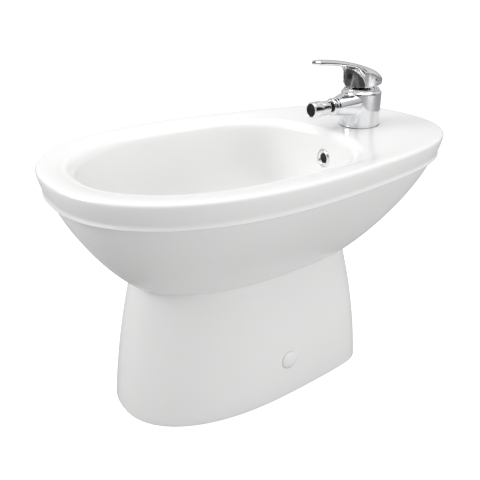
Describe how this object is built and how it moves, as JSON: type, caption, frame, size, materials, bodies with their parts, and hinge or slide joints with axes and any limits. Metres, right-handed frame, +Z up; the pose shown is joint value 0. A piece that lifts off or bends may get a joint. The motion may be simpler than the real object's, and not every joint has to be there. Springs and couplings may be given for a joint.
{
  "type": "floor standing bidet with mixer",
  "caption": "Oval white ceramic bidet on a flared pedestal, with a chrome single-lever mixer, swivelling ball-joint nozzle, overflow, push-open waste and hidden side fixings.",
  "frame": {"origin": "on the floor, under the middle of the rim's outline (bottom centre of the bounding box)", "axes": "+Z up, -Y towards the nose, +Y towards the wall, +X to the right when facing the wall"},
  "size_m": [0.36, 0.6, 0.4604],
  "materials": {
    "china": "glossy white glaze",
    "chrome": "polished chrome plate",
    "brass": "machined",
    "steel": "zinc-plated steel",
    "rubber": "matt black rubber",
    "white_plastic": "gloss white",
    "grey_plastic": "matt moulded",
    "dark_plastic": "matt black",
    "disc_ceramic": "lapped"
  },
  "bodies": {
    "base": {"ceramic_body": "china", "overflow_ring": "chrome", "floor_brackets": "steel", "bracket_nuts": "steel", "side_sleeves": "white_plastic", "side_screws": "steel", "screw_caps": "white_plastic", "waste_body": "chrome", "waste_upper_seal": "rubber", "waste_lower_seal": "rubber", "waste_washer": "white_plastic", "waste_back_nut": "chrome", "plug_guide": "white_plastic", "plug_clicker": "grey_plastic", "mixer_body": "chrome", "base_gasket": "rubber", "fixing_stud": "brass", "clamp_gasket": "rubber", "clamp_washer": "steel", "stud_nut": "brass", "cartridge_housing": "grey_plastic", "cartridge_seals": "rubber", "fixed_disc": "disc_ceramic", "retaining_nut": "brass", "bonnet": "chrome", "socket_ring": "chrome", "ball_gasket": "rubber"},
    "plug": {"plug_stem": "steel", "plug_seal": "rubber", "plug_cap": "chrome"},
    "swivel": {"lever_guide": "white_plastic", "pivot_pin": "steel"},
    "lever": {"lever_stem": "brass", "lever_handle": "chrome", "grub_screw": "steel", "indicator_plug": "dark_plastic"},
    "disc": {"moving_disc": "disc_ceramic", "disc_carrier": "white_plastic"},
    "ball_cup": {"ball_seat": "white_plastic"},
    "nozzle": {"nozzle_barrel": "chrome", "aerator_housing": "chrome", "aerator_insert": "dark_plastic"}
  },
  "joints": [
    {"name": "plug_lift", "type": "slide", "parent": "base", "child": "plug", "axis": [0, 0, 1], "range_m": [0, 0.008]},
    {"name": "lever_swivel", "type": "hinge", "parent": "base", "child": "swivel", "pos_m": [0, 0.189, 0.39154], "axis": [0, 0, 1], "range_deg": [-50, 50]},
    {"name": "lever_lift", "type": "hinge", "parent": "swivel", "child": "lever", "pos_m": [0, 0.189, 0.39154], "axis": [-1, 0, 0], "range_deg": [0, 20]},
    {"name": "disc_slide", "type": "slide", "parent": "swivel", "child": "disc", "axis": [0, -1, 0], "range_m": [0, 0.00277]},
    {"name": "nozzle_roll", "type": "hinge", "parent": "base", "child": "ball_cup", "pos_m": [0, 0.135, 0.39054], "axis": [0, 1, 0], "range_deg": [-90, 90]},
    {"name": "nozzle_tilt", "type": "hinge", "parent": "ball_cup", "child": "nozzle", "pos_m": [0, 0.135, 0.39054], "axis": [1, 0, 0], "range_deg": [-15, 15]}
  ],
  "couplings": [
    {"joint": "disc_slide", "follows": "lever_lift", "m_per_rad": 0.0078875}
  ]
}
